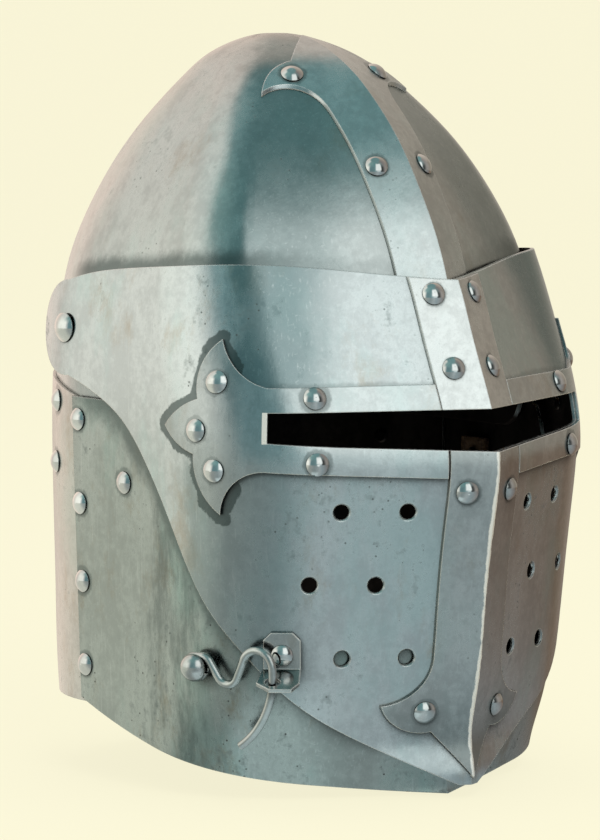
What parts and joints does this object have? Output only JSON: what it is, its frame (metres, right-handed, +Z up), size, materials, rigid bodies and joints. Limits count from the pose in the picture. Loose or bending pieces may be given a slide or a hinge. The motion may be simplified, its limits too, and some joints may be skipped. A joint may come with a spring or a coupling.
{
  "type": "great helm",
  "caption": "Steel great helm with a keeled skull, a visor that turns up on temple pivots, eye slot bands, a wire hook latch at the cheek and a leather liner with chin straps.",
  "frame": {"origin": "centre of the neck opening across the helm, at the height of the chin point of the rim, midway between the flat sides", "axes": "+Z up towards the crown, -Y the way the wearer looks, +X the wearer's left"},
  "size_m": [0.2265, 0.2658, 0.3455],
  "materials": {
    "skull_steel": "satin, scratched and a little tarnished",
    "plate_steel": "satin, scratched and a little tarnished",
    "visor_steel": "satin, scratched and a little tarnished",
    "strap_steel": "satin",
    "rivet_steel": "satin",
    "latch_steel": "satin",
    "liner_leather": "matt",
    "strap_leather": "matt"
  },
  "bodies": {
    "helm": {"skull": "skull_steel", "skull_strap": "strap_steel", "skull_strap_rivets": "rivet_steel", "back_plate": "plate_steel", "back_rivets": "rivet_steel", "lower_front_plate": "plate_steel", "seam_rivets_left": "rivet_steel", "seam_rivets_right": "rivet_steel", "liner": "liner_leather", "liner_rivets": "rivet_steel", "chin_strap_left": "strap_leather", "chin_strap_right": "strap_leather", "chin_strap_buckle": "latch_steel", "chin_strap_rivets": "rivet_steel", "pivot_rivet_left": "rivet_steel", "pivot_rivet_right": "rivet_steel", "pivot_spacer_left": "plate_steel", "pivot_spacer_right": "plate_steel", "pivot_washer_left": "plate_steel", "pivot_washer_right": "plate_steel", "latch_stud": "latch_steel"},
    "visor": {"visor_plate": "visor_steel", "eye_band_left": "strap_steel", "eye_band_right": "strap_steel", "trefoil_rivets_left": "rivet_steel", "trefoil_rivets_right": "rivet_steel", "band_rivets": "rivet_steel", "brow_strap": "strap_steel", "brow_rivets": "rivet_steel", "nasal_strap": "strap_steel", "nasal_rivets": "rivet_steel", "latch_bracket": "latch_steel", "latch_bracket_rivet": "rivet_steel"},
    "hook": {"latch_hook": "latch_steel"}
  },
  "joints": [
    {"name": "visor_hinge", "type": "hinge", "parent": "helm", "child": "visor", "pos_m": [0, 0.038, 0.211], "axis": [-1, 0, 0], "range_deg": [0, 78]},
    {"name": "hook_swing", "type": "hinge", "parent": "helm", "child": "hook", "pos_m": [-0.10077, -0.05693, 0.06301], "axis": [-0.9428, -0.3261, -0.0698], "range_deg": [0, 100]}
  ]
}
